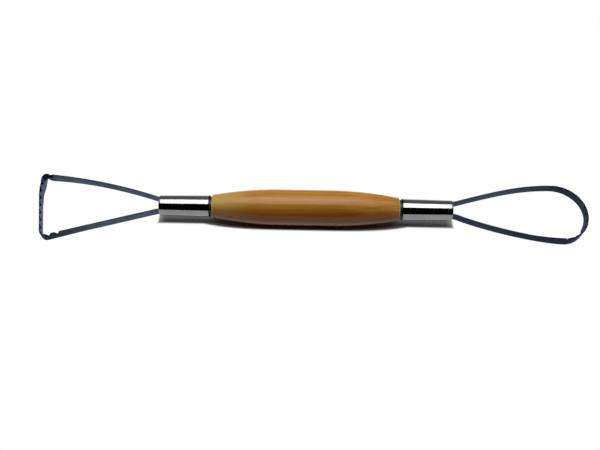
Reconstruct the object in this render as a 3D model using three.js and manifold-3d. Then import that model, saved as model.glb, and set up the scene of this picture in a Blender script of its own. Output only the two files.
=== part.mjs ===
// Double-ended serrated ribbon tool for trimming and texturing clay.
// A turned wooden barrel handle carries a plated ferrule on a tenon at each end, and each ferrule
// holds the two legs of a bent steel ribbon that stands on edge. One loop is flat-ended, the other
// is round, and both have a notched upper edge over their working end.
// Units are millimetres. +X runs along the handle towards the round loop, and +Z is up. Each end
// is built in a frame of its own, with x outward along the tool's axis from the handle's middle.
import * as THREE from "three";
import { mergeVertices } from "three/addons/utils/BufferGeometryUtils.js";
import Module from "manifold-3d";

const wasm = await Module();
wasm.setup();

// Handle
const handleLength = 69.1; // between the two shoulders
const bellyRadius = 6.62;
const shoulderRadius = 4.25;
const barrelStraightHalf = 10; // how far the barrel's middle is straight, to each side
const barrelPower = 1.9; // a higher power keeps more of the barrel thick
const shoulderRounding = 0.45;

// Ferrules
const ferruleLength = 18.6;
const ferruleWall = 0.3;
const collarRadius = 3.95; // outside, next to the handle's shoulder
const mouthRadius = 3.68; // outside, where the ribbon leaves
const shoulderGap = 0.8; // between the handle's shoulder and the ferrule
const ferruleFit = 0.05; // radial, on the tenon, the resin and the ribbon's legs

// Tenons
const tenonLength = 11.5;
const grooveLength = 5.6; // the side grooves that take the legs, back from the tenon's tip
const grooveFit = 0.1;

// Resin that locks the legs in the ferrule
const resinRecess = 0.8; // back from the ferrule's mouth
const resinGap = 0.1; // to the tenon's tip

// Ribbon
const ribbonWidth = 3.6; // up and down
const ribbonThickness = 0.52;
const mouthBendStart = 0.15; // beyond the ferrule's mouth
const mouthBendRadius = 3.5;

// Notches across the upper edge
const notchPitch = 3.1;
const notchRootWidth = 0.3;
const flatNotchWidth = 1.5;
const flatNotchDepth = 1;
const roundNotchWidth = 1.1;
const roundNotchDepth = 0.55;

// Flat-ended loop. Reaches are from the ferrule's mouth and half widths from the tool's axis. They
// go to the outer face, and a corner's go to where its two straight runs would meet.
const flatLeftCornerReach = 42.05;
const flatLeftCornerHalf = 14.6;
const flatLeftCornerRadius = 2.4;
const flatRightCornerReach = 46.5;
const flatRightCornerHalf = 11.85;
const flatRightCornerRadius = 3;
const flatRightKneeReach = 19.15;
const flatRightKneeHalf = 8.8;
const flatRightKneeRadius = 185;
const flatLeftLean = 0.6; // sideways out, from the notched edge to the plain one, at the left corner
const flatLeftLeanRun = 13; // along the ribbon, from the corner to where it stands upright again
const flatRightLean = 1.5; // back towards the ferrule, in the same way, at the right corner
const flatRightLeanRun = 10;
const flatNotchesLeft = 6; // counted from the notch in the middle of the end bar
const flatNotchesRight = 5;

// Round loop. A crown is the widest point of its side, and the tip is the point furthest out. A
// pull is how far a curve holds its first or last direction.
const roundLeftLegAngle = 16.5; // degrees from the tool's axis
const roundLeftLegPull = 13.7;
const roundLeftCrownPull = 12.4;
const roundLeftCrownReach = 37.55;
const roundLeftCrownHalf = 10.3;
const roundRightLegAngle = 23;
const roundRightLegPull = 11.3;
const roundRightCrownPull = 8.85;
const roundRightCrownReach = 40.05;
const roundRightCrownHalf = 12.2;
const roundTipReach = 49.6;
const roundTipOffset = -1.3;
const roundTipFullness = 0.55; // 0.55 is a quarter of an ellipse, and more is squarer
const roundNotchesLeft = 6; // counted from the notch at the tip
const roundNotchesRight = 5;

// Fineness of the round shapes
const turnSegments = 40;
const barrelFlats = 28; // few enough that the barrel lies still on one of them
const barrelRings = 8; // in each half of the barrel, past its straight middle
const roundingRings = 4;
const largestTurn = THREE.MathUtils.degToRad(9); // between two sections of the ribbon
const longestStep = 3.2; // along a bend or a curve
const shortestStep = 0.03;

// Sizes worked out from the ones above
const shoulderX = handleLength / 2;
const collarX = shoulderX + shoulderGap;
const mouthX = collarX + ferruleLength;
const tenonTipX = shoulderX + tenonLength;
const grooveStartX = tenonTipX - grooveLength;

function ferruleRadius(x) {
  return THREE.MathUtils.mapLinear(x, collarX, mouthX, collarRadius, mouthRadius);
}

function tenonRadius(x) {
  return ferruleRadius(x) - ferruleWall - ferruleFit;
}

// A turned shape is a prism of flats, whose middles lie nearer to the axis than its edges do. The
// barrel lies on a flat, and a leg's outer corners come nearest to the flats of the bore where the
// bore is narrowest.
const lyingRadius = bellyRadius * Math.cos(Math.PI / barrelFlats);
const boreShrink = Math.cos(Math.PI / turnSegments);
const legCornerRadius = Math.min(tenonRadius(collarX), tenonRadius(mouthX)) * boreShrink;
const legOuterY = Math.sqrt(legCornerRadius ** 2 - (ribbonWidth / 2) ** 2);
const grooveFloorY = legOuterY - ribbonThickness - grooveFit;
const legTailX = grooveStartX + grooveFit;

const wood = { color: 0xb08343, roughness: 0.35, metalness: 0 };
const plating = { color: 0xc9c7c2, roughness: 0.16, metalness: 1 };
const ribbonSteel = { color: 0x596074, roughness: 0.42, metalness: 0.9 };
const resin = { color: 0x8f7a4e, roughness: 0.3, metalness: 0 };

function namedMesh(name, geometry, finish) {
  const mesh = new THREE.Mesh(geometry, new THREE.MeshStandardMaterial(finish));
  mesh.name = name;
  return mesh;
}

// A profile of [x, radius] points, turned round the tool's axis
function turned(profile, segments = turnSegments) {
  const points = profile.map(([x, radius]) => new THREE.Vector2(radius, x));
  return new THREE.LatheGeometry(points, segments).rotateZ(-Math.PI / 2);
}

// A closed geometry as a solid that can be cut
function solidFrom(geometry) {
  const bare = geometry.clone();
  bare.deleteAttribute("normal");
  bare.deleteAttribute("uv");
  const merged = mergeVertices(bare);
  return new wasm.Manifold(
    new wasm.Mesh({
      numProp: 3,
      vertProperties: merged.attributes.position.array,
      triVerts: new Uint32Array(merged.index.array),
    }),
  );
}

function facetedGeometry(positions, triangles) {
  const geometry = new THREE.BufferGeometry();
  geometry.setAttribute("position", new THREE.BufferAttribute(positions, 3));
  geometry.setIndex(new THREE.BufferAttribute(triangles, 1));
  const faceted = geometry.toNonIndexed();
  faceted.computeVertexNormals();
  return faceted;
}

function geometryFrom(solid) {
  const mesh = solid.getMesh();
  return facetedGeometry(mesh.vertProperties, mesh.triVerts);
}

// Points of a rounding in a turned profile, round [centreX, centreRadius]
function rounding(centreX, centreRadius, radius, fromAngle, toAngle) {
  const points = [];
  for (let i = 0; i <= roundingRings; i += 1) {
    const angle = THREE.MathUtils.lerp(fromAngle, toAngle, i / roundingRings);
    points.push([centreX + radius * Math.cos(angle), centreRadius + radius * Math.sin(angle)]);
  }
  return points;
}

function barrelRadius(x) {
  const fall = Math.max(0, (x - barrelStraightHalf) / (shoulderX - barrelStraightHalf));
  return bellyRadius - (bellyRadius - shoulderRadius) * fall ** barrelPower;
}

// The handle's profile from the end of its straight middle out to a tenon's tip
function halfHandleProfile() {
  const edgeX = shoulderX - shoulderRounding;
  const profile = [];
  for (let i = 0; i < barrelRings; i += 1) {
    const x = THREE.MathUtils.lerp(barrelStraightHalf, edgeX, i / barrelRings);
    profile.push([x, barrelRadius(x)]);
  }
  const roundingRadius = barrelRadius(edgeX) - shoulderRounding;
  profile.push(...rounding(edgeX, roundingRadius, shoulderRounding, Math.PI / 2, 0));
  profile.push([shoulderX, tenonRadius(shoulderX)]);
  profile.push([tenonTipX, tenonRadius(tenonTipX)]);
  profile.push([tenonTipX, 0]);
  return profile;
}

// The cutter for the two side grooves that the legs lie in, open to the outside
function legGrooves(fromX, toX) {
  const depth = collarRadius - grooveFloorY;
  const height = ribbonWidth + 2 * grooveFit;
  const sides = [1, -1].map((side) => {
    const cutter = new THREE.BoxGeometry(toX - fromX, depth, height);
    cutter.translate((fromX + toX) / 2, side * (grooveFloorY + depth / 2), 0);
    return solidFrom(cutter);
  });
  return sides[0].add(sides[1]);
}

// One turned piece of wood: the barrel, its two shoulders and a grooved tenon at each end. A flat
// of the barrel faces down once the tool has rolled.
function handleGeometry(roll) {
  const half = halfHandleProfile();
  const otherHalf = half.map(([x, radius]) => [-x, radius]);
  const turnedBlank = turned([...otherHalf.reverse(), ...half], barrelFlats);
  const blank = solidFrom(turnedBlank.rotateX(Math.PI / barrelFlats - roll));
  const pastTipX = tenonTipX + grooveFit;
  return geometryFrom(
    blank
      .subtract(legGrooves(grooveStartX, pastTipX))
      .subtract(legGrooves(-pastTipX, -grooveStartX)),
  );
}

// A thin tapered tube with both of its edges rolled round
function ferruleGeometry() {
  const lip = ferruleWall / 2;
  const collarLipX = collarX + lip;
  const mouthLipX = mouthX - lip;
  const outside = Math.PI / 2;
  const bore = -Math.PI / 2;
  const profile = [
    ...rounding(collarLipX, ferruleRadius(collarLipX) - lip, lip, bore + 2 * Math.PI, outside),
    ...rounding(mouthLipX, ferruleRadius(mouthLipX) - lip, lip, outside, bore),
  ];
  return turned([...profile, profile[0]]);
}

// The plug that fills the ferrule from the tenon to near the mouth, round both legs
function resinGeometry() {
  const fromX = tenonTipX + resinGap;
  const toX = mouthX - resinRecess;
  const plug = turned([
    [fromX, 0],
    [fromX, tenonRadius(fromX)],
    [toX, tenonRadius(toX)],
    [toX, 0],
  ]);
  const grooves = legGrooves(fromX - grooveFit, toX + grooveFit);
  return geometryFrom(solidFrom(plug).subtract(grooves));
}

// An arm is one side of a loop: the ribbon's outer face in plan, from the tail of its leg to the
// middle of the working end. Each arm is drawn on the left, and the right one is then turned over.

// The leg lies straight along the bore, and then splays out by an angle in radians.
function legPath(splay) {
  const path = new THREE.Path();
  const bendX = mouthX + mouthBendStart;
  path.moveTo(legTailX, legOuterY);
  path.lineTo(bendX, legOuterY);
  path.absarc(
    bendX,
    legOuterY + mouthBendRadius,
    mouthBendRadius,
    -Math.PI / 2,
    -Math.PI / 2 + splay,
    false,
  );
  return path;
}

// The splay with which the bend at the mouth leaves a leg pointing at a target
function splayTowards(target) {
  const bendCentre = new THREE.Vector2(mouthX + mouthBendStart, legOuterY + mouthBendRadius);
  const offset = target.clone().sub(bendCentre);
  return Math.atan2(offset.y, offset.x) + Math.asin(mouthBendRadius / offset.length());
}

// Runs a path up to a corner, and rounds it there towards the next point. The shorter of the two
// runs that meet at the corner limits the rounding.
function bend(path, corner, onward, radius) {
  const arriving = corner.clone().sub(path.currentPoint);
  const leaving = onward.clone().sub(corner);
  const turn = Math.atan2(arriving.cross(leaving), arriving.dot(leaving));
  const run = Math.min(arriving.length(), leaving.length());
  const cutBack = Math.min(radius * Math.tan(Math.abs(turn) / 2), run);
  const fittedRadius = cutBack / Math.tan(Math.abs(turn) / 2);
  const heading = arriving.normalize();
  const start = corner.clone().addScaledVector(heading, -cutBack);
  const leftwards = new THREE.Vector2(-heading.y, heading.x);
  const centre = start.clone().addScaledVector(leftwards, Math.sign(turn) * fittedRadius);
  const startAngle = start.clone().sub(centre).angle();
  path.lineTo(start.x, start.y);
  path.absarc(centre.x, centre.y, fittedRadius, startAngle, startAngle + turn, turn < 0);
}

function flatLoopArms() {
  const leftCorner = new THREE.Vector2(mouthX + flatLeftCornerReach, flatLeftCornerHalf);
  const rightCorner = new THREE.Vector2(mouthX + flatRightCornerReach, flatRightCornerHalf);
  const rightKnee = new THREE.Vector2(mouthX + flatRightKneeReach, flatRightKneeHalf);
  const barMiddleX = (leftCorner.x + rightCorner.x) / 2;
  const barMiddleY = (leftCorner.y - rightCorner.y) / 2;

  const left = legPath(splayTowards(leftCorner));
  bend(left, leftCorner, new THREE.Vector2(barMiddleX, barMiddleY), flatLeftCornerRadius);
  left.lineTo(barMiddleX, barMiddleY);

  const right = legPath(splayTowards(rightKnee));
  bend(right, rightKnee, rightCorner, flatRightKneeRadius);
  bend(right, rightCorner, new THREE.Vector2(barMiddleX, -barMiddleY), flatRightCornerRadius);
  right.lineTo(barMiddleX, -barMiddleY);

  const notch = { width: flatNotchWidth, depth: flatNotchDepth };
  const cornerDistance = leftCorner.distanceTo(new THREE.Vector2(rightCorner.x, -rightCorner.y)) / 2;
  const leftLean = new THREE.Vector2(0, flatLeftLean);
  const rightLean = new THREE.Vector2(-flatRightLean, 0);
  return [
    {
      path: left,
      notches: { count: flatNotchesLeft, ...notch },
      lean: { most: leftLean, run: flatLeftLeanRun, cornerDistance },
    },
    {
      path: right,
      notches: { count: flatNotchesRight, ...notch },
      lean: { most: rightLean, run: flatRightLeanRun, cornerDistance },
    },
  ];
}

// An arm of two free curves, from the leg to the crown and from the crown to the tip
function roundArm(legAngle, legPull, crownPull, crown, tip) {
  const splay = THREE.MathUtils.degToRad(legAngle);
  const path = legPath(splay);
  const leg = path.currentPoint.clone();
  path.bezierCurveTo(
    leg.x + legPull * Math.cos(splay),
    leg.y + legPull * Math.sin(splay),
    crown.x - crownPull,
    crown.y,
    crown.x,
    crown.y,
  );
  path.bezierCurveTo(
    THREE.MathUtils.lerp(crown.x, tip.x, roundTipFullness),
    crown.y,
    tip.x,
    THREE.MathUtils.lerp(tip.y, crown.y, roundTipFullness),
    tip.x,
    tip.y,
  );
  return path;
}

function roundLoopArms() {
  const tipX = mouthX + roundTipReach;
  const left = roundArm(
    roundLeftLegAngle,
    roundLeftLegPull,
    roundLeftCrownPull,
    new THREE.Vector2(mouthX + roundLeftCrownReach, roundLeftCrownHalf),
    new THREE.Vector2(tipX, roundTipOffset),
  );
  const right = roundArm(
    roundRightLegAngle,
    roundRightLegPull,
    roundRightCrownPull,
    new THREE.Vector2(mouthX + roundRightCrownReach, roundRightCrownHalf),
    new THREE.Vector2(tipX, -roundTipOffset),
  );

  const notch = { width: roundNotchWidth, depth: roundNotchDepth };
  return [
    { path: left, notches: { count: roundNotchesLeft, ...notch } },
    { path: right, notches: { count: roundNotchesRight, ...notch } },
  ];
}

// How deep the upper edge is cut at a distance from the middle of the working end. Notches hold an
// arm's count, and the width and depth of each.
function notchCut(distance, notches) {
  const nearest = Math.min(Math.round(distance / notchPitch), notches.count);
  const offset = Math.abs(distance - nearest * notchPitch);
  const slope = THREE.MathUtils.mapLinear(
    offset,
    notchRootWidth / 2,
    notches.width / 2,
    notches.depth,
    0,
  );
  return THREE.MathUtils.clamp(slope, 0, notches.depth);
}

// Where an arm needs a section: along its bends, at the corners of its notches, and where its lean
// starts, is greatest and ends
function sectionDistances({ path, notches, lean }) {
  const length = path.getLength();
  const distances = [];
  let start = 0;
  for (const curve of path.curves) {
    const span = curve.getLength();
    const turn = curve.getTangent(0).angleTo(curve.getTangent(1));
    const straight = curve instanceof THREE.LineCurve;
    const steps = straight ? 1 : Math.ceil(Math.max(turn / largestTurn, span / longestStep));
    for (let i = 0; i <= steps; i += 1) distances.push(start + (span * i) / steps);
    start += span;
  }
  for (let notch = 0; notch <= notches.count; notch += 1) {
    for (const halfWidth of [notchRootWidth / 2, notches.width / 2]) {
      distances.push(length - notch * notchPitch - halfWidth);
      if (notch > 0) distances.push(length - notch * notchPitch + halfWidth);
    }
  }
  if (lean) {
    const corner = length - lean.cornerDistance;
    distances.push(corner - lean.run, corner, Math.min(corner + lean.run, length));
  }
  const sorted = distances.sort((a, b) => a - b);
  return sorted.filter((distance, i) => i === 0 || distance - sorted[i - 1] > shortestStep);
}

// Where the plain edge stands of the notched one in plan, at a distance from the middle of the
// working end. A leaning arm leans most at its corner, and stands upright elsewhere.
function leanAt(distance, lean) {
  if (!lean) return new THREE.Vector2(0, 0);
  const fromCorner = Math.abs(distance - lean.cornerDistance);
  return lean.most.clone().multiplyScalar(Math.max(0, 1 - fromCorner / lean.run));
}

// An arm's sections from its tail to the middle of the working end. Side is 1 left, -1 right.
function armSections(arm, side) {
  const { path, notches, lean } = arm;
  const length = path.getLength();
  return sectionDistances(arm).map((distance) => {
    const point = path.getPoint(distance / length);
    const tangent = path.getTangent(distance / length);
    const shift = leanAt(length - distance, lean);
    return {
      outer: new THREE.Vector2(point.x, side * point.y),
      inward: new THREE.Vector2(tangent.y, -side * tangent.x),
      shift: new THREE.Vector2(shift.x, side * shift.y),
      top: ribbonWidth / 2 - notchCut(length - distance, notches),
    };
  });
}

// The bent ribbon: a four-cornered section carried from the left tail round to the right one
function ribbonGeometry([left, right]) {
  const rightSections = armSections(right, -1).reverse();
  const sections = [...armSections(left, 1), ...rightSections.slice(1)];
  const bottom = -ribbonWidth / 2;
  const positions = sections.flatMap(({ outer, inward, shift, top }) => {
    const corner = (depth, z) => {
      const down = (ribbonWidth / 2 - z) / ribbonWidth;
      const point = outer.clone().addScaledVector(inward, depth).addScaledVector(shift, down);
      return [point.x, point.y, z];
    };
    return [
      corner(0, bottom),
      corner(0, top),
      corner(ribbonThickness, top),
      corner(ribbonThickness, bottom),
    ].flat();
  });
  const triangles = [0, 3, 2, 0, 2, 1];
  for (let i = 0; i < sections.length - 1; i += 1) {
    for (let corner = 0; corner < 4; corner += 1) {
      const a = 4 * i + corner;
      const b = 4 * i + ((corner + 1) % 4);
      triangles.push(a, b, b + 4, a, b + 4, a + 4);
    }
  }
  const last = 4 * (sections.length - 1);
  triangles.push(last, last + 1, last + 2, last, last + 2, last + 3);
  return facetedGeometry(new Float32Array(positions), new Uint32Array(triangles));
}

// A ferrule with its ribbon and resin, in the end's own frame
function endGroup(name, ribbon) {
  const end = new THREE.Group();
  end.add(namedMesh(`${name}_end_ferrule`, ferruleGeometry(), plating));
  end.add(namedMesh(`${name}_end_resin`, resinGeometry(), resin));
  end.add(namedMesh(`${name}_loop_blade`, ribbon, ribbonSteel));
  return end;
}

const roundEnd = endGroup("round", ribbonGeometry(roundLoopArms()));
const flatEnd = endGroup("flat", ribbonGeometry(flatLoopArms()));
flatEnd.rotation.z = Math.PI;
const ends = new THREE.Group();
ends.add(roundEnd, flatEnd);

// How far the tool rolls towards -Y on its barrel before a ribbon meets the surface that the barrel
// lies on. Ribbons that stay within the barrel's radius never meet it.
function restingRoll(group) {
  const point = new THREE.Vector3();
  const rolls = [];
  group.updateMatrixWorld(true);
  group.traverse((piece) => {
    if (!piece.name.endsWith("_blade")) return;
    const position = piece.geometry.attributes.position;
    for (let i = 0; i < position.count; i += 1) {
      point.fromBufferAttribute(position, i).applyMatrix4(piece.matrixWorld);
      const reach = Math.hypot(point.y, point.z);
      if (point.y > 0 || reach < lyingRadius) continue;
      rolls.push(Math.asin(lyingRadius / reach) - Math.atan2(-point.z, -point.y));
    }
  });
  return rolls.reduce((least, roll) => Math.min(least, roll), rolls[0] ?? 0);
}

// The tool rests on its barrel and on a corner of the flat-ended loop. Its frame has its origin on
// that surface, under the middle of the whole tool's outline.
const roll = restingRoll(ends);
const tool = new THREE.Group();
tool.add(namedMesh("handle", handleGeometry(roll), wood));
tool.add(ends);
tool.rotation.x = roll;
const bounds = new THREE.Box3().setFromObject(tool, true);
const middle = bounds.getCenter(new THREE.Vector3());
tool.position.set(-middle.x, -middle.y, -bounds.min.z);

export default tool;
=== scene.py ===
"""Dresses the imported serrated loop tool: a lacquered wooden barrel handle, polished ferrules and blued
ribbon loops with notched upper edges. Shapes are drawn in millimetres in the tool's own frame, with
its origin in the middle of the handle and x along the handle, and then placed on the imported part."""

import math

import bmesh
import bpy
import numpy as np
from mathutils import Matrix, Vector


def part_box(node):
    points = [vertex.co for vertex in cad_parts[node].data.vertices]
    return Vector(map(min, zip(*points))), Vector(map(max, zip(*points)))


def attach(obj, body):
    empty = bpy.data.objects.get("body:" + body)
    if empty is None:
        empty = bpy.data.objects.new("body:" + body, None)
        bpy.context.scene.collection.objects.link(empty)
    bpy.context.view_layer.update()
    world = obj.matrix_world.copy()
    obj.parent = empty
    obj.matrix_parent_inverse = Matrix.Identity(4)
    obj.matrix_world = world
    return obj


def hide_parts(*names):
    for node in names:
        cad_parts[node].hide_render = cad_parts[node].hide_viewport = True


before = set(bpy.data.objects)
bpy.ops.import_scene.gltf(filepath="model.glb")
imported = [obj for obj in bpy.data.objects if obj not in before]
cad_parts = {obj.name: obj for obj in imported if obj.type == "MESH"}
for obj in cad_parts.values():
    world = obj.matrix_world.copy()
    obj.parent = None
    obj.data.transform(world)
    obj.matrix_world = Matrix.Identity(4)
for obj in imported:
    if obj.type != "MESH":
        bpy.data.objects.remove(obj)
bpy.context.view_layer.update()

MM = 0.001
ROLL = math.radians(19.642)  # on the barrel, until a corner of the flat loop meets the table

# Sizes shared with the solids
SHOULDER_X = 34.55
BELLY_RADIUS = 6.62
SHOULDER_RADIUS = 4.25
BARREL_STRAIGHT_HALF = 10.0
BARREL_POWER = 1.9
SHOULDER_ROUNDING = 0.45
COLLAR_X = 35.35
MOUTH_X = 53.95
COLLAR_RADIUS = 3.95
MOUTH_RADIUS = 3.68
FERRULE_WALL = 0.3
FERRULE_FIT = 0.05
BORE_FLATS = 40
RIBBON_WIDTH = 3.6
RIBBON_THICKNESS = 0.52
MOUTH_BEND_START = 0.15
MOUTH_BEND_RADIUS = 3.5
NOTCH_PITCH = 3.1
NOTCH_ROOT_WIDTH = 0.3
NOTCHES_LEFT = 6  # on each loop, counted from the notch in the middle of its working end
NOTCHES_RIGHT = 5
ROUND_NOTCH_WIDTH = 1.1
ROUND_NOTCH_DEPTH = 0.55
RESIN_RECESS = 0.8

# Sizes of the visible model alone. The flat loop's notches are larger here than in the solids, and
# the tenons are shorter, which is out of sight.
FLAT_NOTCH_WIDTH = 1.9
FLAT_NOTCH_DEPTH = 1.3
TENON_END_X = 40.4
PLUG_START_X = TENON_END_X + 0.1
LEG_TAIL_X = TENON_END_X + 0.15

# Where the handle's finish changes and where shade is painted on it, in millimetres from its end or
# along its own axes
WEAR_REACH = 0.4
WEAR_FADE = 0.15
GAP_SHADE_REACH = 0.09
GAP_SHADE_FADE = 0.08
PALE_START = 18.0
PALE_FADE = 14.0
PALE_LEVEL = 0.85
PALE_ON_AXIS = 0.2
PALE_UPWARDS = 0.15
# Painted shade: the handle turns darker and redder towards its front lower side
LOWER_SHADE_SIDEWAYS = -0.9
LOWER_SHADE_UPWARDS = -0.44
LOWER_SHADE_ON_AXIS = 0.5
LOWER_SHADE_FADE = 4.0

# How far the painted shade of the seam goes along a ferrule from the edge next to the wood
SEAM_SHADE_REACH = 0.4
SEAM_SHADE_FADE = 0.12

handle_low, handle_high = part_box("handle")
TOOL_TO_FRAME = (
    Matrix.Translation((handle_low + handle_high) / 2)
    @ Matrix.Rotation(ROLL, 4, "X")
    @ Matrix.Scale(MM, 4)
)
TURNED_ROUND = TOOL_TO_FRAME @ Matrix.Rotation(math.pi, 4, "Z")


# Nodes and materials

MIX_INPUTS = (0, 6, 7)  # the share and the two colours
MIX_RESULT = 2


def add_node(tree, kind, inputs=(), **settings):
    """A shader node with its settings, and inputs that are values or other nodes' sockets."""
    made = tree.nodes.new("ShaderNode" + kind)
    for key, value in settings.items():
        setattr(made, key, value)
    for socket, value in dict(inputs).items():
        if isinstance(value, bpy.types.NodeSocket):
            tree.links.new(value, made.inputs[socket])
        else:
            made.inputs[socket].default_value = value
    return made


def new_material(name):
    material = bpy.data.materials.new(name)
    material.use_nodes = True
    material.node_tree.nodes.clear()
    return material, material.node_tree


def finish_material(tree, shader_socket):
    add_node(tree, "OutputMaterial", {"Surface": shader_socket})


def stretched_noise(tree, scale, detail=4.0, roughness=0.55, offset=(0, 0, 0)):
    """Noise in the object's frame, with its own scale along each axis, per metre."""
    place = add_node(tree, "TexCoord").outputs["Object"]
    mapped = add_node(tree, "Mapping", {"Vector": place, "Scale": scale, "Location": offset})
    noise = add_node(
        tree,
        "TexNoise",
        {"Vector": mapped.outputs[0], "Scale": 1.0, "Detail": detail, "Roughness": roughness},
    )
    return noise.outputs["Fac"]


def ramp(tree, factor, stops):
    """A colour ramp, with stops of (position, linear colour)."""
    made = add_node(tree, "ValToRGB", {"Fac": factor})
    elements = made.color_ramp.elements
    while len(elements) < len(stops):
        elements.new(0.5)
    for element, (position, colour) in zip(elements, stops):
        element.position = position
        element.color = (*colour, 1.0)
    return made.outputs["Color"]


def blend_colours(tree, factor, first, second, mode="MIX"):
    """Two colours, each a socket or three numbers, mixed by the share that a socket gives."""
    made = add_node(tree, "Mix", data_type="RGBA", blend_type=mode)
    for socket, value in zip(MIX_INPUTS, (factor, first, second)):
        if isinstance(value, bpy.types.NodeSocket):
            tree.links.new(value, made.inputs[socket])
        else:
            made.inputs[socket].default_value = (*value, 1.0)
    return made.outputs[MIX_RESULT]


def remap(tree, value, low, high, to_low=0.0, to_high=1.0):
    made = add_node(
        tree,
        "MapRange",
        {"Value": value, "From Min": low, "From Max": high, "To Min": to_low, "To Max": to_high},
    )
    return made.outputs[0]


def attribute(tree, name):
    return add_node(tree, "Attribute", attribute_name=name).outputs["Fac"]


def arithmetic(tree, operation, first, second):
    made = add_node(tree, "Math", {0: first, 1: second}, operation=operation)
    return made.outputs[0]


def bump(tree, height, distance, strength):
    made = add_node(
        tree, "Bump", {"Height": height, "Distance": distance, "Strength": strength}
    )
    return made.outputs["Normal"]


def wood_material():
    material, tree = new_material("lacquered_wood")
    fine = stretched_noise(tree, (22, 1500, 1500), 5.0, 0.62)
    broad = stretched_noise(tree, (7, 210, 210), 3.0, 0.5, (3, 1, 7))
    pores = stretched_noise(tree, (260, 5200, 5200), 2.0, 0.5, (9, 4, 2))
    mixed = arithmetic(
        tree,
        "ADD",
        arithmetic(tree, "MULTIPLY", fine, 0.5),
        arithmetic(tree, "MULTIPLY", broad, 0.5),
    )
    grain = ramp(
        tree,
        mixed,
        [
            (0.35, (0.27, 0.09, 0.006)),
            (0.46, (0.37, 0.152, 0.014)),
            (0.55, (0.43, 0.195, 0.026)),
            (0.66, (0.5, 0.262, 0.055)),
        ],
    )
    pore_mask = remap(tree, pores, 0.64, 0.72)
    pored = blend_colours(
        tree, arithmetic(tree, "MULTIPLY", pore_mask, 0.35), grain, (0.2, 0.085, 0.02)
    )
    pale = blend_colours(tree, attribute(tree, "pale"), pored, (0.46, 0.315, 0.085))
    rim_break = remap(tree, stretched_noise(tree, (900, 900, 900), 3.0), 0.35, 0.6, 0.3, 1.0)
    # Painted shade: the front lower side of the handle darker and redder
    lower_shade = blend_colours(tree, attribute(tree, "lower_shade"), pale, (0.8, 0.58, 0.4), "MULTIPLY")
    worn = blend_colours(
        tree,
        arithmetic(tree, "MULTIPLY", attribute(tree, "wear"), rim_break),
        lower_shade,
        (0.62, 0.5, 0.27),
    )
    # Painted shade: the shoulder face and the tenon turn near black, as the gap at the ferrule in shade
    gap_shaded = blend_colours(tree, attribute(tree, "gap_shade"), worn, (0.02, 0.012, 0.006))
    shader = add_node(
        tree,
        "BsdfPrincipled",
        {
            "Base Color": gap_shaded,
            "Roughness": 0.27,
            "IOR": 1.5,
            "Specular IOR Level": 0.25,
            "Normal": bump(tree, mixed, 0.00006, 0.35),
        },
    )
    finish_material(tree, shader.outputs[0])
    return material


def nickel_material():
    material, tree = new_material("nickel_plate")
    cloud = stretched_noise(tree, (180, 260, 260), 4.0)
    lines = stretched_noise(tree, (60, 6000, 6000), 3.0, 0.6, (2, 5, 1))
    colour = ramp(tree, cloud, [(0.3, (0.215, 0.212, 0.22)), (0.7, (0.265, 0.26, 0.262))])
    # Painted shade and painted dark reflection at the seam next to the wood: colour and specular tint go
    # near black
    seam_shade = attribute(tree, "seam_shade")
    seam_shaded = blend_colours(tree, seam_shade, colour, (0.012, 0.008, 0.005))
    shader = add_node(
        tree,
        "BsdfPrincipled",
        {
            "Base Color": seam_shaded,
            "Metallic": 1.0,
            "Specular Tint": blend_colours(tree, seam_shade, (1.0, 1.0, 1.0), (0.05, 0.04, 0.03)),
            "Roughness": remap(tree, cloud, 0.3, 0.7, 0.07, 0.13),
            "Normal": bump(tree, lines, 0.000004, 0.4),
        },
    )
    finish_material(tree, shader.outputs[0])
    return material


def ribbon_material(name, dark, middle, light, roughness, glancing):
    """Blued steel, with its three colours from dark to light and its tint at a glancing angle."""
    material, tree = new_material(name)
    mottle = stretched_noise(tree, (190, 190, 190), 5.0, 0.6)
    rolled = stretched_noise(tree, (70, 70, 2600), 4.0, 0.6, (4, 8, 3))
    mixed = arithmetic(
        tree,
        "ADD",
        arithmetic(tree, "MULTIPLY", mottle, 0.6),
        arithmetic(tree, "MULTIPLY", rolled, 0.4),
    )
    colour = ramp(tree, mixed, [(0.36, dark), (0.5, middle), (0.64, light)])
    # Painted sheen: lighter, violet patches where the mesh's share is high
    tinted = blend_colours(tree, attribute(tree, "violet_sheen"), colour, (1.6, 1.5, 1.75), "MULTIPLY")
    # Painted shade: the mesh's share turns the steel darker
    burnt = blend_colours(tree, attribute(tree, "burnt"), tinted, (0.012, 0.011, 0.018))
    shader = add_node(
        tree,
        "BsdfPrincipled",
        {
            "Base Color": burnt,
            "Metallic": 0.85,
            "Specular Tint": (*glancing, 1.0),
            "Roughness": remap(tree, mottle, 0.3, 0.7, roughness - 0.06, roughness + 0.08),
            "Normal": bump(tree, mixed, 0.00003, 0.3),
        },
    )
    finish_material(tree, shader.outputs[0])
    return material


def resin_material():
    material, tree = new_material("set_resin")
    cloud = stretched_noise(tree, (700, 700, 700), 3.0)
    colour = ramp(tree, cloud, [(0.3, (0.2, 0.13, 0.045)), (0.7, (0.3, 0.21, 0.085))])
    shader = add_node(
        tree,
        "BsdfPrincipled",
        {
            "Base Color": colour,
            "Roughness": 0.25,
            "Coat Weight": 0.4,
            "Coat Roughness": 0.1,
            "Normal": bump(tree, cloud, 0.00005, 0.3),
        },
    )
    finish_material(tree, shader.outputs[0])
    return material


# Meshes

SHARP_ANGLE = math.radians(35.0)


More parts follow.
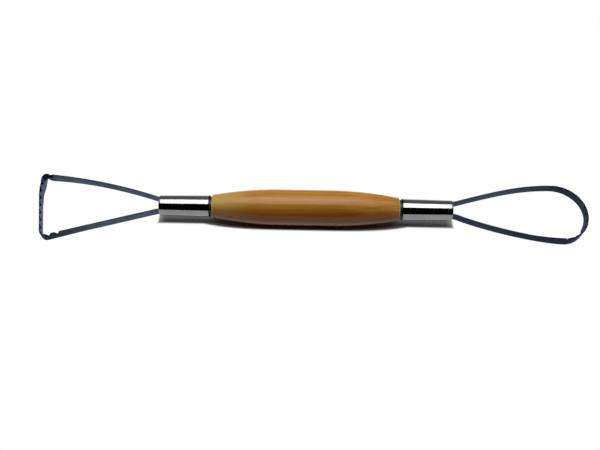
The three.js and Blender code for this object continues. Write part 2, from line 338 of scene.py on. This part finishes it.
def make_piece(name, vertices, faces, materials, placed, attributes=()):
    """A closed, smooth-shaded mesh that rides on the part, with its sharp edges kept crisp."""
    mesh = bpy.data.meshes.new(name)
    mesh.from_pydata([placed @ Vector(v) for v in vertices], [], faces)
    for material in materials:
        mesh.materials.append(material)
    for key, values in dict(attributes).items():
        mesh.attributes.new(key, "FLOAT", "POINT").data.foreach_set("value", values)
    edit = bmesh.new()
    edit.from_mesh(mesh)
    bmesh.ops.recalc_face_normals(edit, faces=edit.faces)
    for face in edit.faces:
        face.smooth = True
    for edge in edit.edges:
        if edge.is_manifold and edge.calc_face_angle() > SHARP_ANGLE:
            edge.smooth = False
    edit.to_mesh(mesh)
    edit.free()
    made = bpy.data.objects.new(name, mesh)
    bpy.context.scene.collection.objects.link(made)
    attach(made, "root")
    return made


def lathe_faces(rings, segments, closed_ring):
    """Faces between rings of points, round again from the last ring to the first if it is closed."""
    faces = []
    steps = rings if closed_ring else rings - 1
    for ring in range(steps):
        first = ring * segments
        second = (ring + 1) % rings * segments
        for k in range(segments):
            after = (k + 1) % segments
            faces.append((first + k, first + after, second + after, second + k))
    return faces


def capped_faces(rings, segments):
    """Faces between rings of points, with a cap on the first ring and one on the last."""
    faces = lathe_faces(rings, segments, False)
    faces.append(tuple(range(segments)))
    faces.append(tuple(range((rings - 1) * segments, rings * segments)))
    return faces


def lathe_points(profile, segments):
    points = []
    for x, radius in profile:
        for k in range(segments):
            angle = 2 * math.pi * k / segments
            points.append((x, radius * math.cos(angle), radius * math.sin(angle)))
    return points


def arc_points(centre_x, centre_r, radius, start, end, steps):
    points = []
    for i in range(steps + 1):
        angle = math.radians(start + (end - start) * i / steps)
        points.append((centre_x + radius * math.cos(angle), centre_r + radius * math.sin(angle)))
    return points


def barrel_radius(x):
    fall = max(0.0, (abs(x) - BARREL_STRAIGHT_HALF) / (SHOULDER_X - BARREL_STRAIGHT_HALF))
    return BELLY_RADIUS - (BELLY_RADIUS - SHOULDER_RADIUS) * fall**BARREL_POWER


def ferrule_radius(x):
    share = (x - COLLAR_X) / (MOUTH_X - COLLAR_X)
    return COLLAR_RADIUS + (MOUTH_RADIUS - COLLAR_RADIUS) * share


def smooth_step(value):
    value = min(1.0, max(0.0, value))
    return value * value * (3 - 2 * value)


def make_handle(material):
    """The barrel with its rounded shoulders and the start of each tenon."""
    segments = 160
    rings = 64
    root_rounding = 0.08
    tip_chamfer = 0.3
    edge_x = SHOULDER_X - SHOULDER_ROUNDING
    tenon_radius = COLLAR_RADIUS - FERRULE_WALL - FERRULE_FIT
    half = [(edge_x * i / rings, barrel_radius(edge_x * i / rings)) for i in range(1, rings)]
    rim_radius = barrel_radius(edge_x) - SHOULDER_ROUNDING
    half += arc_points(edge_x, rim_radius, SHOULDER_ROUNDING, 90, 0, steps=8)
    half += [(SHOULDER_X, tenon_radius + root_rounding)]
    half += [(SHOULDER_X + root_rounding, tenon_radius)]
    half += [(TENON_END_X - tip_chamfer, tenon_radius)]
    half += [(TENON_END_X, tenon_radius - tip_chamfer)]
    profile = [(-x, r) for x, r in reversed(half)] + [(0.0, BELLY_RADIUS)] + half
    vertices = lathe_points(profile, segments)
    wear = []
    pale = []
    gap_shade = []
    lower_shade = []
    for x, y, z in vertices:
        short_of_end = SHOULDER_X - abs(x)
        wear.append(smooth_step((WEAR_REACH - short_of_end) / WEAR_FADE))
        # Painted shade in the gap between the shoulder and the ferrule
        gap_shade.append(smooth_step((GAP_SHADE_REACH - short_of_end) / GAP_SHADE_FADE))
        towards_end = PALE_LEVEL * smooth_step((-x - PALE_START) / PALE_FADE)
        pale.append(towards_end * smooth_step(PALE_ON_AXIS + PALE_UPWARDS * z))
        # Painted shade, growing towards the front lower side
        into_lower_shade = LOWER_SHADE_SIDEWAYS * y + LOWER_SHADE_UPWARDS * z + LOWER_SHADE_ON_AXIS
        lower_shade.append(smooth_step(into_lower_shade / LOWER_SHADE_FADE))
    return make_piece(
        "wooden_handle",
        vertices,
        capped_faces(len(profile), segments),
        [material],
        TOOL_TO_FRAME,
        {"wear": wear, "pale": pale, "gap_shade": gap_shade, "lower_shade": lower_shade},
    )


def make_ferrule(name, material, placed):
    """A tapered tube with both of its edges rolled round, and painted dark along the wood as shade in
    the seam.
    """
    segments = 192
    rings = 24
    seam_rings = 5
    seam_ring_step = 0.08
    lip = FERRULE_WALL / 2
    first_x = COLLAR_X + lip
    last_x = MOUTH_X - lip
    outside = [first_x + seam_ring_step * i for i in range(1, seam_rings + 1)]
    outside += [first_x + (last_x - first_x) * i / rings for i in range(1, rings)]
    profile = arc_points(first_x, ferrule_radius(first_x) - lip, lip, 270, 90, steps=10)
    profile += [(x, ferrule_radius(x)) for x in outside]
    profile += arc_points(last_x, ferrule_radius(last_x) - lip, lip, 90, -90, steps=10)
    profile += [(x, ferrule_radius(x) - FERRULE_WALL) for x in reversed(outside)]
    vertices = lathe_points(profile, segments)
    # Painted shade of the seam, near the edge next to the wood
    seam_shade = [smooth_step((SEAM_SHADE_REACH - (x - COLLAR_X)) / SEAM_SHADE_FADE) for x, _, _ in vertices]
    return make_piece(
        name,
        vertices,
        lathe_faces(len(profile), segments, True),
        [material],
        placed,
        {"seam_shade": seam_shade},
    )


def make_resin(name, material, placed):
    """The set plug from the tenon to behind the mouth, with a face that creeps up the wall."""
    segments = 96
    cap_radius = 0.4
    wall_gap = 0.02
    creep = ((0.28, 0.0), (0.1, 0.16), (0.0, 0.5), (-0.04, 1.2))  # forward, and in from the wall
    middle_radius = 0.9
    middle_dip = 0.02
    face_x = MOUTH_X - RESIN_RECESS
    wall = ferrule_radius(face_x) - FERRULE_WALL - wall_gap
    profile = [(PLUG_START_X, cap_radius), (PLUG_START_X, wall)]
    profile += [(face_x + forward, wall - inwards) for forward, inwards in creep]
    profile += [(face_x - middle_dip, radius) for radius in (middle_radius, cap_radius)]
    vertices = lathe_points(profile, segments)
    faces = capped_faces(len(profile), segments)
    return make_piece(name, vertices, faces, [material], placed)


# Ribbon loops

LINE_STEP = 0.1
ARC_STEP = 0.05
CURVE_STEPS = 400
SAME_PLACE = 1e-7
HEADING_REACH = 0.06  # to each side of a point, to find its direction

PLAIN_STEP = 0.55
NOTCHED_STEP = 0.24
NOTCHED_MARGIN = 0.6  # in notch pitches, past the last notch
SHOULDER_STEP = 0.05  # between a notch's shoulder and the next section
CLEAR_OF_CORNERS = 0.07

SECTION_POINTS = 16
LOWER_PLACES = set(range(SECTION_POINTS // 2))
UPPER_PLACES = set(range(SECTION_POINTS // 2, SECTION_POINTS))
SECTION_ROUNDING = 0.1
SMALLEST_CUT = 0.01
# Painted shade: the cut edges and the notch faces take darker copies of the steel
EDGE_SHADE = 1
NOTCH_SHADE = 2


class Path:
    """A line in plan, kept as close points, from straight runs, arcs and free curves."""

    def __init__(self, x, y):
        self.points = [np.array([x, y], float)]

    def line_to(self, x, y):
        start = self.points[-1]
        end = np.array([x, y], float)
        steps = max(2, int(np.linalg.norm(end - start) / LINE_STEP))
        self.points += [start + (end - start) * i / steps for i in range(1, steps + 1)]

    def arc(self, x, y, radius, start, sweep):
        steps = max(8, int(abs(sweep) * radius / ARC_STEP))
        for i in range(1, steps + 1):
            angle = start + sweep * i / steps
            self.points.append(np.array([x + radius * math.cos(angle), y + radius * math.sin(angle)]))

    def curve_to(self, first, second, end):
        start = self.points[-1]
        first, second, end = (np.array(p, float) for p in (first, second, end))
        for i in range(1, CURVE_STEPS + 1):
            t = i / CURVE_STEPS
            self.points.append(
                start * (1 - t) ** 3
                + first * 3 * t * (1 - t) ** 2
                + second * 3 * t * t * (1 - t)
                + end * t**3
            )

    def bend(self, corner, onward, radius):
        """Runs up to a corner, and rounds it towards the next point."""
        corner, onward = np.array(corner, float), np.array(onward, float)
        arriving, leaving = corner - self.points[-1], onward - corner
        turn = math.atan2(
            arriving[0] * leaving[1] - arriving[1] * leaving[0], float(arriving @ leaving)
        )
        run = min(np.linalg.norm(arriving), np.linalg.norm(leaving))
        cut_back = min(radius * math.tan(abs(turn) / 2), run)
        fitted = cut_back / math.tan(abs(turn) / 2)
        heading = arriving / np.linalg.norm(arriving)
        start = corner - heading * cut_back
        centre = start + np.array([-heading[1], heading[0]]) * math.copysign(fitted, turn)
        self.line_to(*start)
        angle = math.atan2(start[1] - centre[1], start[0] - centre[0])
        self.arc(*centre, fitted, angle, turn)

    def sampled(self, distances):
        """Points and directions at distances from the start."""
        points = np.array(self.points)
        steps = np.linalg.norm(np.diff(points, axis=0), axis=1)
        keep = np.concatenate([[True], steps > SAME_PLACE])
        points = points[keep]
        steps = np.linalg.norm(np.diff(points, axis=0), axis=1)
        passed = np.concatenate([[0.0], np.cumsum(steps)])
        at = [np.interp(distances, passed, points[:, k]) for k in (0, 1)]
        before = [np.interp(distances - HEADING_REACH, passed, points[:, k]) for k in (0, 1)]
        after = [np.interp(distances + HEADING_REACH, passed, points[:, k]) for k in (0, 1)]
        headings = np.stack(after, 1) - np.stack(before, 1)
        headings /= np.linalg.norm(headings, axis=1)[:, None]
        return np.stack(at, 1), headings

    def length(self):
        return float(np.linalg.norm(np.diff(np.array(self.points), axis=0), axis=1).sum())


LEG_CORNER_RADIUS = (MOUTH_RADIUS - FERRULE_WALL - FERRULE_FIT) * math.cos(math.pi / BORE_FLATS)
LEG_OUTER_Y = math.sqrt(LEG_CORNER_RADIUS**2 - (RIBBON_WIDTH / 2) ** 2)
BEND_CENTRE = (MOUTH_X + MOUTH_BEND_START, LEG_OUTER_Y + MOUTH_BEND_RADIUS)


def leg_path(splay):
    path = Path(LEG_TAIL_X, LEG_OUTER_Y)
    path.line_to(BEND_CENTRE[0], LEG_OUTER_Y)
    path.arc(*BEND_CENTRE, MOUTH_BEND_RADIUS, -math.pi / 2, splay)
    return path


def splay_towards(x, y):
    across, up = x - BEND_CENTRE[0], y - BEND_CENTRE[1]
    return math.atan2(up, across) + math.asin(MOUTH_BEND_RADIUS / math.hypot(across, up))


def along(stops, distance):
    """The value at a distance, between stops of (distance, value)."""
    places, values = zip(*stops)
    return float(np.interp(distance, places, values))


class Arm:
    """One side of a loop: its outer face in plan, its notches, its painted shade and sheen, and how far
    its plain edge (lean) and its notched edge (crest) are shifted in plan, as stops of (distance, away
    from the handle, outwards). Distances are from the middle of the working end."""

    def __init__(
        self, path, count, width, depth, outer_share, burnt, violet_sheen, lean=None, crest=None
    ):
        self.path = path
        self.count, self.width, self.depth = count, width, depth
        self.outer_share = outer_share
        self.burnt, self.violet_sheen = burnt, violet_sheen
        self.lean = lean or [(0, 0, 0)]
        self.crest = crest or [(0, 0, 0)]

    def notch_cuts(self, distance):
        """How deep the upper edge is cut on its outer and its inner side. The file was tilted, so
        most notches are shallow outside."""
        nearest = min(round(distance / NOTCH_PITCH), self.count)
        offset = abs(distance - nearest * NOTCH_PITCH)
        share = (self.width / 2 - offset) / (self.width / 2 - NOTCH_ROOT_WIDTH / 2)
        inner = self.depth * min(1.0, max(0.0, share))
        return inner * along(self.outer_share, distance), inner

    def shifts_at(self, distance, side):
        """How far the plain and the notched edge stand off from the path in plan."""
        shifts = []
        for stops in (self.lean, self.crest):
            places, forward, outward = zip(*stops)
            shift = (np.interp(distance, places, forward), np.interp(distance, places, outward))
            shifts.append(np.array(shift) * (1, side))
        return shifts

    def stations(self, length):
        """Distances from the tail: close together over the notches, with their corners exact."""
        notched = length - (self.count + NOTCHED_MARGIN) * NOTCH_PITCH
        distances = list(np.arange(0.0, notched, PLAIN_STEP))
        distances += list(np.arange(notched, length, NOTCHED_STEP))
        distances.append(length)
        corners = []
        half = self.width / 2
        for notch in range(self.count + 1):
            for offset in (NOTCH_ROOT_WIDTH / 2, half, half + SHOULDER_STEP):
                corners.append(length - notch * NOTCH_PITCH - offset)
                if notch:
                    corners.append(length - notch * NOTCH_PITCH + offset)
        kept = [d for d in distances if all(abs(d - c) > CLEAR_OF_CORNERS for c in corners)]
        return np.array(sorted(kept + corners))


def flat_loop_arms():
    left_corner = (MOUTH_X + 42.05, 14.6)
    right_corner = (MOUTH_X + 45.6, 11.85)
    bar_knee = (MOUTH_X + 45.4, 4.2)
    right_knee = (MOUTH_X + 19.15, 8.8)
    middle = (MOUTH_X + 44.42, 1.38)
    left = leg_path(splay_towards(*left_corner))
    left.bend(left_corner, middle, radius=2.4)
    left.line_to(*middle)
    right = leg_path(splay_towards(*right_knee))
    right.bend(right_knee, right_corner, radius=185)
    right.bend(right_corner, bar_knee, radius=1.7)
    right.bend(bar_knee, (middle[0], -middle[1]), radius=20)
    right.line_to(middle[0], -middle[1])

    # About how far both corners are from the middle of the end bar
    corner = math.dist(left_corner, (right_corner[0], -right_corner[1])) / 2
    # Painted shade: darker around the corners of the flat loop
    left_burnt = [
        (10, 0.0),
        (corner, 0.85),
        (corner + 5, 0.85),
        (corner + 11, 0.5),
        (corner + 20, 0.2),
    ]
    left_lean = [(corner - 13, 0, 0), (corner, 0, 0.35), (corner + 13, 0, 0)]
    right_lean = [
        (corner - 13, 0, 0),
        (corner - 8, -0.3, 0),
        (corner - 4, -0.8, 0),
        (corner - 1.5, -0.7, 0.1),
        (corner, -0.1, 0.3),
        (corner + 1.5, 0, -0.35),
        (corner + 3, 0, -0.5),
        (corner + 7, 0, -0.25),
        (corner + 14, 0, -0.1),
        (corner + 20, 0, 0),
    ]
    cut = (FLAT_NOTCH_WIDTH, FLAT_NOTCH_DEPTH)
    return (
        Arm(
            left,
            NOTCHES_LEFT,
            *cut,
            outer_share=[(corner - 1, 0.15), (corner + 1, 1.0)],
            burnt=left_burnt,
            violet_sheen=[(8, 0.9), (12, 0.0)],
            lean=left_lean,
        ),
        Arm(
            right,
            NOTCHES_RIGHT,
            *cut,
            outer_share=[(corner, 0.15), (corner + 1.5, 0.4)],
            burnt=[(11, 0.0), (corner, 0.85), (corner + 2.5, 0.7), (corner + 5, 0.15)],
            violet_sheen=[(0, 0.9), (2, 0.3), (6, 0.3), (10, 0.7), (corner, 0.0)],
            lean=right_lean,
        ),
    )


def round_arm(leg_degrees, leg_pull, crown_pull, crown, tip):
    """One side of the round loop: out of the mouth at an angle, in one curve to its widest place, the
    crown, and in another round to the tip."""
    splay = math.radians(leg_degrees)
    fullness = 0.55
    path = leg_path(splay)
    leg = path.points[-1]
    pull = (leg[0] + leg_pull * math.cos(splay), leg[1] + leg_pull * math.sin(splay))
    path.curve_to(pull, (crown[0] - crown_pull, crown[1]), crown)
    path.curve_to(
        (crown[0] + (tip[0] - crown[0]) * fullness, crown[1]),
        (tip[0], tip[1] + (crown[1] - tip[1]) * fullness),
        tip,
    )
    return path


def round_loop_arms():
    left = round_arm(
        leg_degrees=16.5,
        leg_pull=13.7,
        crown_pull=12.4,
        crown=(MOUTH_X + 37.55, 10.3),
        tip=(MOUTH_X + 49.6, -1.3),
    )
    right = round_arm(
        leg_degrees=23,
        leg_pull=11.3,
        crown_pull=8.85,
        crown=(MOUTH_X + 40.05, 12.2),
        tip=(MOUTH_X + 49.6, 1.3),
    )
    cut = (ROUND_NOTCH_WIDTH, ROUND_NOTCH_DEPTH)
    shallow = [(0, 0.25)]
    return (
        Arm(
            left,
            NOTCHES_LEFT,
            *cut,
            outer_share=shallow,
            burnt=[(4, 0.8), (10, 0.88), (16, 0.9), (26, 0.65), (40, 0.4)],
            violet_sheen=[(2, 0.0), (8, 0.5), (20, 0.5), (28, 0.0)],
            lean=[(0, -0.15, 0), (6, 0, 0)],
        ),
        Arm(
            right,
            NOTCHES_RIGHT,
            *cut,
            outer_share=shallow,
            burnt=[(4, 0.75), (12, 0.9), (30, 0.88), (45, 0.75)],
            violet_sheen=[(10, 0.0), (22, 0.2), (36, 0.0)],
            lean=[(0, -0.15, 0), (3, -0.4, 0), (5.5, -0.75, 0), (8, -0.2, 0.1), (24, 0, 0)],
            crest=[(6, 0, 0), (9, 0, -0.3), (12, 0, -0.5), (18, 0, -0.4), (28, 0, 0)],
        ),
    )


def section(outer_top, inner_top):
    """The strip's section as (depth from the outer face, height), with its corners rounded. The
    first half of its points is on the plain edge and the second on the notched one."""
    corner = SECTION_ROUNDING
    bottom = -RIBBON_WIDTH / 2
    points = []
    for depth, height, start in (
        (corner, bottom + corner, 180),
        (RIBBON_THICKNESS - corner, bottom + corner, 270),
        (RIBBON_THICKNESS - corner, inner_top - corner, 0),
        (corner, outer_top - corner, 90),
    ):
        for angle in (start, start + 30, start + 60, start + 90):
            turn = math.radians(angle)
            points.append((depth + corner * math.cos(turn), height + corner * math.sin(turn)))
    return points


def make_ribbon(name, arms, materials, placed):
    """The bent strip, from the tail of its left leg round to the tail of its right one. Its
    materials are for its faces, and darker copies paint shade on its cut edges and in its notches."""
    sections = []
    for arm, side in zip(arms, (1, -1)):
        length = arm.path.length()
        distances = arm.stations(length)
        points, headings = arm.path.sampled(distances)
        half = []
        for distance, point, heading in zip(length - distances, points, headings):
            outer = np.array([point[0], side * point[1]])
            inward = np.array([heading[1], -side * heading[0]])
            shifts = arm.shifts_at(distance, side)
            # Painted shade and painted sheen for this section
            tones = (along(arm.burnt, distance), along(arm.violet_sheen, distance))
            half.append((outer, inward, shifts, arm.notch_cuts(distance), tones))
        sections.append(half)
    chain = sections[0] + sections[1][::-1][1:]
    vertices = []
    burnt = []
    violet_sheen = []
    for outer, inward, (lean, crest), (outer_cut, inner_cut), tones in chain:
        for depth, height in section(RIBBON_WIDTH / 2 - outer_cut, RIBBON_WIDTH / 2 - inner_cut):
            up = 0.5 + height / RIBBON_WIDTH
            x, y = outer + inward * depth + lean * (1 - up) + crest * up
            vertices.append((x, y, height))
            burnt.append(tones[0])
            violet_sheen.append(tones[1])
    faces = capped_faces(len(chain), SECTION_POINTS)
    tones = {"burnt": burnt, "violet_sheen": violet_sheen}
    made = make_piece(name, vertices, faces, materials, placed, tones)
    cuts = [inner_cut for _, _, _, (_, inner_cut), _ in chain]
    for polygon in made.data.polygons:
        corners = list(polygon.vertices)
        rows = {v // SECTION_POINTS for v in corners}
        places = {v % SECTION_POINTS for v in corners}
        topmost = places <= UPPER_PLACES
        cap = len(corners) > 4
        in_notch = len(rows) == 2 and max(cuts[r] for r in rows) > SMALLEST_CUT
        if topmost and in_notch:
            polygon.material_index = NOTCH_SHADE
        elif topmost or places <= LOWER_PLACES or cap:
            polygon.material_index = EDGE_SHADE
    return made


nickel = nickel_material()
resin = resin_material()
ribbon_finish_and_shades = [
    ribbon_material(
        "blued_ribbon",
        dark=(0.056, 0.072, 0.102),
        middle=(0.086, 0.108, 0.15),
        light=(0.124, 0.15, 0.2),
        roughness=0.36,
        glancing=(0.4, 0.45, 0.6),
    ),
    # Painted shade on the cut edges: a darker copy of the blued steel
    ribbon_material(
        "ribbon_edge_shade",
        dark=(0.02, 0.025, 0.036),
        middle=(0.036, 0.044, 0.062),
        light=(0.062, 0.072, 0.095),
        roughness=0.4,
        glancing=(0.3, 0.35, 0.45),
    ),
    # Painted shade in the notches: a near-black copy of the blued steel
    ribbon_material(
        "ribbon_notch_shade",
        dark=(0.002, 0.003, 0.005),
        middle=(0.005, 0.006, 0.009),
        light=(0.014, 0.015, 0.019),
        roughness=0.5,
        glancing=(0.05, 0.06, 0.08),
    ),
]

handle = make_handle(wood_material())
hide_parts("handle")
for end, placed, arms in (
    ("flat", TURNED_ROUND, flat_loop_arms()),
    ("round", TOOL_TO_FRAME, round_loop_arms()),
):
    ferrule = make_ferrule(f"{end}_ferrule", nickel, placed)
    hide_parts(f"{end}_end_ferrule")
    plug = make_resin(f"{end}_resin_plug", resin, placed)
    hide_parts(f"{end}_end_resin")
    ribbon = make_ribbon(f"{end}_ribbon", arms, ribbon_finish_and_shades, placed)
    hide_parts(f"{end}_loop_blade")


# Table, light and camera

TABLE_HALF = 4

# The floor's strip of grey paper, a painted shadow that also takes the rendered shadow, in metres from
# the tool's axis. It narrows with the fourth power of the distance along the tool.
STRIP_HALF_WIDTH = 0.0049
STRIP_NARROWING = 1300.0
STRIP_NARROWEST = 0.0022
STRIP_FADE = 0.0009
STRIP_END = 0.0549
STRIP_GONE = 0.0557

# A softbox overhead. A black card slopes from its front edge down to just in front of the tool, and
# a grey one from its back edge down to the table behind.
LIGHT_HEIGHT = 0.8
LIGHT_FRONT = -0.333
LIGHT_BACK = 0.353
LIGHT_LENGTH = 0.56
SOFTBOX_RADIANCE = 4.4
FRONT_FOOT = -0.034
BACK_FOOT = 1.0
CARD_HALF_LENGTH = 1.3
CARD_CLEARANCE = 0.002
CARD_BLUENESS = 1.03

# A second lamp stands behind and above, and faces the tool. No surface mirrors it.
BACK_LAMP_BEHIND = 0.45
BACK_LAMP_HEIGHT = 0.6
BACK_LAMP_LENGTH = 0.8
BACK_LAMP_WIDTH = 0.25
BACK_LAMP_RADIANCE = 2.3
SKY_LEVEL = 0.25


def stage_plane(name, corners, material):
    mesh = bpy.data.meshes.new(name)
    mesh.from_pydata(corners, [], [(0, 1, 2, 3)])
    mesh.materials.append(material)
    made = bpy.data.objects.new(name, mesh)
    bpy.context.scene.collection.objects.link(made)
    return made


def seen_directly(tree):
    """1 for camera, glossy and transmission rays, and 0 for the rest."""
    path = add_node(tree, "LightPath").outputs
    seen = arithmetic(tree, "MAXIMUM", path["Is Camera Ray"], path["Is Glossy Ray"])
    return arithmetic(tree, "MAXIMUM", seen, path["Is Transmission Ray"])


def floor_material():
    """Grey paper close to the tool as a painted shadow, which also takes its rendered shadow; plain
    white further off.
    """
    material, tree = new_material("shadow_strip_paper")
    seen = seen_directly(tree)
    # Painted shadow: seen rays get this grey paper only in the strip under the tool, and white elsewhere
    shadow_strip_paper = add_node(tree, "BsdfDiffuse", {"Color": (0.38, 0.37, 0.39, 1.0)})
    white = add_node(tree, "Emission", {"Color": (1.0, 1.0, 1.0, 1.0), "Strength": 1.0})
    axis = (handle_low + handle_high) / 2
    place = add_node(tree, "TexCoord").outputs["Object"]
    parts = add_node(tree, "SeparateXYZ", {0: place}).outputs
    lengthways = arithmetic(tree, "ABSOLUTE", arithmetic(tree, "SUBTRACT", parts[0], axis.x), 0.0)
    sideways = arithmetic(tree, "ABSOLUTE", arithmetic(tree, "SUBTRACT", parts[1], axis.y), 0.0)
    fourth_power = arithmetic(tree, "POWER", lengthways, 4.0)
    narrowing = arithmetic(tree, "MULTIPLY", fourth_power, STRIP_NARROWING)
    under_handle = arithmetic(tree, "SUBTRACT", STRIP_HALF_WIDTH, narrowing)
    under_tool = arithmetic(tree, "MAXIMUM", under_handle, STRIP_NARROWEST)
    faded = arithmetic(tree, "ADD", under_tool, STRIP_FADE)
    beside = remap(tree, sideways, under_tool, faded)
    beyond = remap(tree, lengthways, STRIP_END, STRIP_GONE)
    clear = arithmetic(tree, "MAXIMUM", beside, beyond)
    shader = add_node(
        tree,
        "MixShader",
        {0: arithmetic(tree, "MULTIPLY", clear, seen), 1: shadow_strip_paper.outputs[0], 2: white.outputs[0]},
    )
    finish_material(tree, shader.outputs[0])
    return material


def card_material(name, level):
    material, tree = new_material(name)
    colour = (level, level, level * CARD_BLUENESS, 1.0)
    shader = add_node(tree, "Emission", {"Color": colour, "Strength": 1.0})
    finish_material(tree, shader.outputs[0])
    return material


table_corners = [(TABLE_HALF * x, TABLE_HALF * y, 0) for x, y in ((-1, -1), (1, -1), (1, 1), (-1, 1))]
stage_plane("table", table_corners, floor_material())

for name, edge, foot, level in (
    ("front_card", LIGHT_FRONT, FRONT_FOOT, 0.004),
    ("back_card", LIGHT_BACK, BACK_FOOT, 0.27),
):
    card_corners = [
        (-CARD_HALF_LENGTH, foot, CARD_CLEARANCE),
        (CARD_HALF_LENGTH, foot, CARD_CLEARANCE),
        (CARD_HALF_LENGTH, edge, LIGHT_HEIGHT),
        (-CARD_HALF_LENGTH, edge, LIGHT_HEIGHT),
    ]
    card = stage_plane(name, card_corners, card_material(name, level))
    card.visible_camera = False


def area_lamp(name, place, length, width, radiance, tilt=0.0):
    """A soft rectangular lamp that shines down, or towards the front when it is tilted."""
    light = bpy.data.lights.new(name, "AREA")
    light.shape = "RECTANGLE"
    light.size = length
    light.size_y = width
    light.energy = radiance * math.pi * length * width
    light.color = (1.0, 0.99, 0.97)
    lamp = bpy.data.objects.new(name, light)
    lamp.location = place
    lamp.rotation_euler = (-tilt, 0, 0)
    lamp.visible_camera = False
    bpy.context.scene.collection.objects.link(lamp)
    return lamp


light_depth = LIGHT_BACK - LIGHT_FRONT
light_middle = (0, (LIGHT_FRONT + LIGHT_BACK) / 2, LIGHT_HEIGHT)
area_lamp("softbox", light_middle, LIGHT_LENGTH, light_depth, SOFTBOX_RADIANCE)
back_lamp = area_lamp(
    "back_lamp",
    (0, BACK_LAMP_BEHIND, BACK_LAMP_HEIGHT),
    BACK_LAMP_LENGTH,
    BACK_LAMP_WIDTH,
    BACK_LAMP_RADIANCE,
    tilt=math.atan2(BACK_LAMP_BEHIND, BACK_LAMP_HEIGHT),
)
back_lamp.visible_glossy = False

world = bpy.data.worlds.new("studio")
bpy.context.scene.world = world
world.use_nodes = True
sky = world.node_tree
sky.nodes.clear()
sky_level = remap(sky, seen_directly(sky), 0.0, 1.0, SKY_LEVEL, 1.0)
background = add_node(sky, "Background", {"Color": (1, 1, 1, 1), "Strength": sky_level})
add_node(sky, "OutputWorld", {"Surface": background.outputs[0]})

# The camera stands where the photograph's perspective puts it, in the tool's own frame.
CAMERA_PLACE = Vector((0.32, -119.38, 230.24))
CAMERA_AZIMUTH = math.radians(-1.16)
CAMERA_ELEVATION = math.radians(64)
looking = Vector(
    (
        math.sin(CAMERA_AZIMUTH) * math.cos(CAMERA_ELEVATION),
        math.cos(CAMERA_AZIMUTH) * math.cos(CAMERA_ELEVATION),
        -math.sin(CAMERA_ELEVATION),
    )
)
across = looking.cross(Vector((0, 0, 1))).normalized()
upward = across.cross(looking)
turned = Matrix((across, upward, -looking)).transposed().to_4x4()
camera_data = bpy.data.cameras.new("camera")
camera_data.sensor_width = 36.0
camera_data.sensor_fit = "HORIZONTAL"
camera_data.lens = 42.0
camera_data.clip_start = 0.01
camera_data.clip_end = 50.0
camera = bpy.data.objects.new("camera", camera_data)
placing = TOOL_TO_FRAME @ Matrix.Translation(CAMERA_PLACE) @ turned
camera.matrix_world = Matrix.LocRotScale(placing.to_translation(), placing.to_quaternion(), None)
bpy.context.scene.collection.objects.link(camera)
bpy.context.scene.camera = camera

bpy.context.scene.view_settings.view_transform = "Standard"
